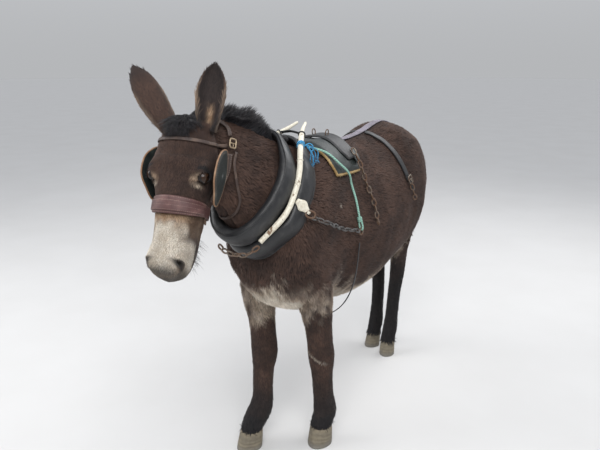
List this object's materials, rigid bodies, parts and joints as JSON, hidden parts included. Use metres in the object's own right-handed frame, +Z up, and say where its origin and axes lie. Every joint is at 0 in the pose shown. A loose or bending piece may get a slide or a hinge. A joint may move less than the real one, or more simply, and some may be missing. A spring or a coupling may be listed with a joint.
{
  "type": "donkey in cart harness",
  "caption": "Standing dark brown donkey with a pale muzzle, wearing bridle with blinkers, collar, hames, cart saddle, straps and chains.",
  "frame": {"origin": "on the floor, under the middle of the outline", "axes": "+Z up; the animal faces -Y, and its left side is +X"},
  "size_m": [0.4922, 1.5746, 1.3706],
  "materials": {
    "coat": "dark chocolate-brown donkey coat, short and dense, with a reddish and grey cast",
    "muzzle_coat": "cream-white hair of the muzzle, grey at the nostrils and lips",
    "leg_coat": "near-black hair of the lower legs",
    "dark_hair": "blue-black hair of mane, forelock and tail",
    "horn": "tan-grey hoof horn, ringed and dusty",
    "eye": "wet, dark brown eye",
    "black_leather": "black harness leather, worn and dusty",
    "brown_leather": "burgundy-brown stitched leather",
    "grey_webbing": "lilac-grey webbing",
    "saddle_cloth": "dark green-black saddle cover",
    "worn_steel": "rusty steel chain, rings and buckles",
    "cream_paint": "cream paint, chipped and rusty at the edges",
    "green_cord": "pale green twisted cord",
    "blue_twine": "bright blue baler twine"
  },
  "bodies": {
    "root": {"trunk": "coat", "neck": "coat", "head": "coat", "muzzle": "muzzle_coat", "eye_left": "eye", "eye_right": "eye", "ear_left": "coat", "ear_right": "coat", "foreleg_left": "leg_coat", "forehoof_left": "horn", "foreleg_right": "leg_coat", "forehoof_right": "horn", "hindleg_left": "leg_coat", "hindhoof_left": "horn", "hindleg_right": "leg_coat", "hindhoof_right": "horn", "tail_dock": "coat", "tail_switch": "dark_hair", "collar_pad": "black_leather", "collar_roll": "black_leather", "hame_left": "cream_paint", "hame_hook_left": "cream_paint", "hame_right": "cream_paint", "hame_hook_right": "cream_paint", "hame_strap": "black_leather", "hame_twine": "blue_twine", "hame_chain": "worn_steel", "saddle_pad": "saddle_cloth", "saddle_tree": "black_leather", "belly_strap": "black_leather", "tug_ring_left": "worn_steel", "tug_cord_left": "green_cord", "back_chain_left": "worn_steel", "trace_chain_left": "worn_steel", "tug_ring_right": "worn_steel", "tug_cord_right": "green_cord", "back_chain_right": "worn_steel", "trace_chain_right": "worn_steel", "back_strap": "grey_webbing", "hip_strap_left": "black_leather", "hip_buckle_left": "worn_steel", "hip_chain_left": "worn_steel", "hip_strap_right": "black_leather", "hip_buckle_right": "worn_steel", "hip_chain_right": "worn_steel", "mane": "dark_hair", "forelock": "dark_hair", "noseband": "brown_leather", "crown_strap": "black_leather", "browband": "brown_leather", "throat_strap": "black_leather", "cheek_strap_left": "black_leather", "blinker_left": "black_leather", "bridle_buckle_left": "worn_steel", "cheek_strap_right": "black_leather", "blinker_right": "black_leather", "bridle_buckle_right": "worn_steel"}
  },
  "joints": []
}
